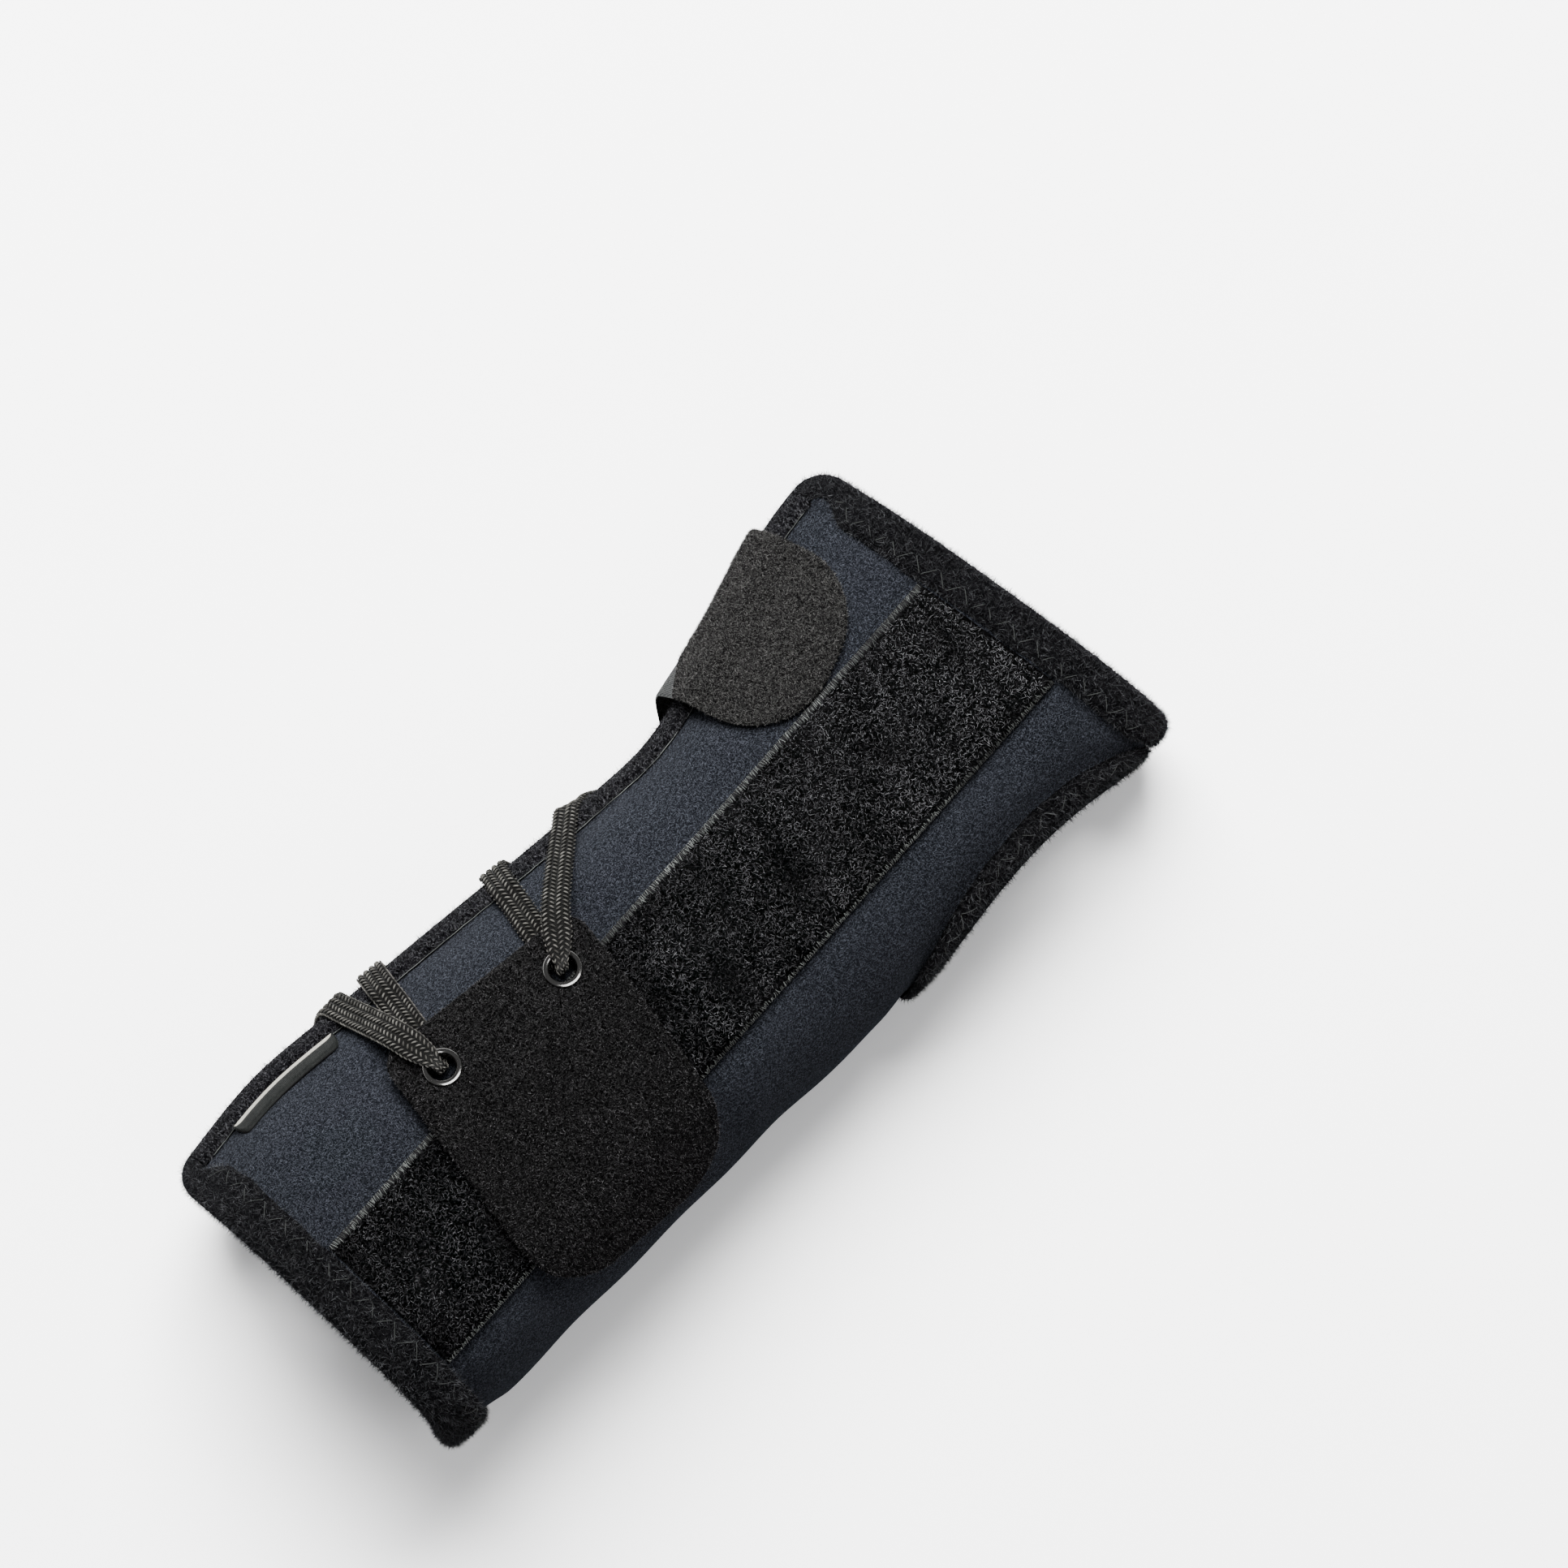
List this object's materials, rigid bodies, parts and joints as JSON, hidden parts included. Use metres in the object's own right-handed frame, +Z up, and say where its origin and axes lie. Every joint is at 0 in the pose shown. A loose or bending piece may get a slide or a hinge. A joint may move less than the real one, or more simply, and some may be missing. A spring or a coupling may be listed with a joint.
{
  "type": "lace-up wrist splint",
  "caption": "Soft sleeve splint for a right wrist, open along one side, with a thumb hole, bound edges, a stay pocket on the palm, a hand strap and a laced pull tab.",
  "frame": {"origin": "under the middle of the whole splint, on the surface that it lies on", "axes": "+X along the arm towards the fingers, +Y towards the little finger, +Z up out of the palm"},
  "size_m": [0.2108, 0.091, 0.0603],
  "materials": {
    "laminate": "short brushed nap on foam laminate",
    "plush": "brushed plush",
    "knit": "flat knit tape",
    "pile": "loop pile with flat selvedges",
    "strap": "brushed webbing",
    "nap": "short nap",
    "nickel": "bright nickel plate",
    "braid": "flat braid",
    "woven": "ribbed woven tape, bare"
  },
  "bodies": {
    "root": {"sleeve": "laminate", "distal_binding": "plush", "proximal_binding": "plush", "thumb_binding": "plush", "palm_edge_binding": "knit", "back_edge_binding": "knit", "stay_pocket": "pile", "hand_strap": "strap", "lace_tab": "nap", "tab_eyelet_distal": "nickel", "tab_eyelet_proximal": "nickel", "lace": "braid", "lace_casing": "knit", "label_tab": "woven"}
  },
  "joints": []
}
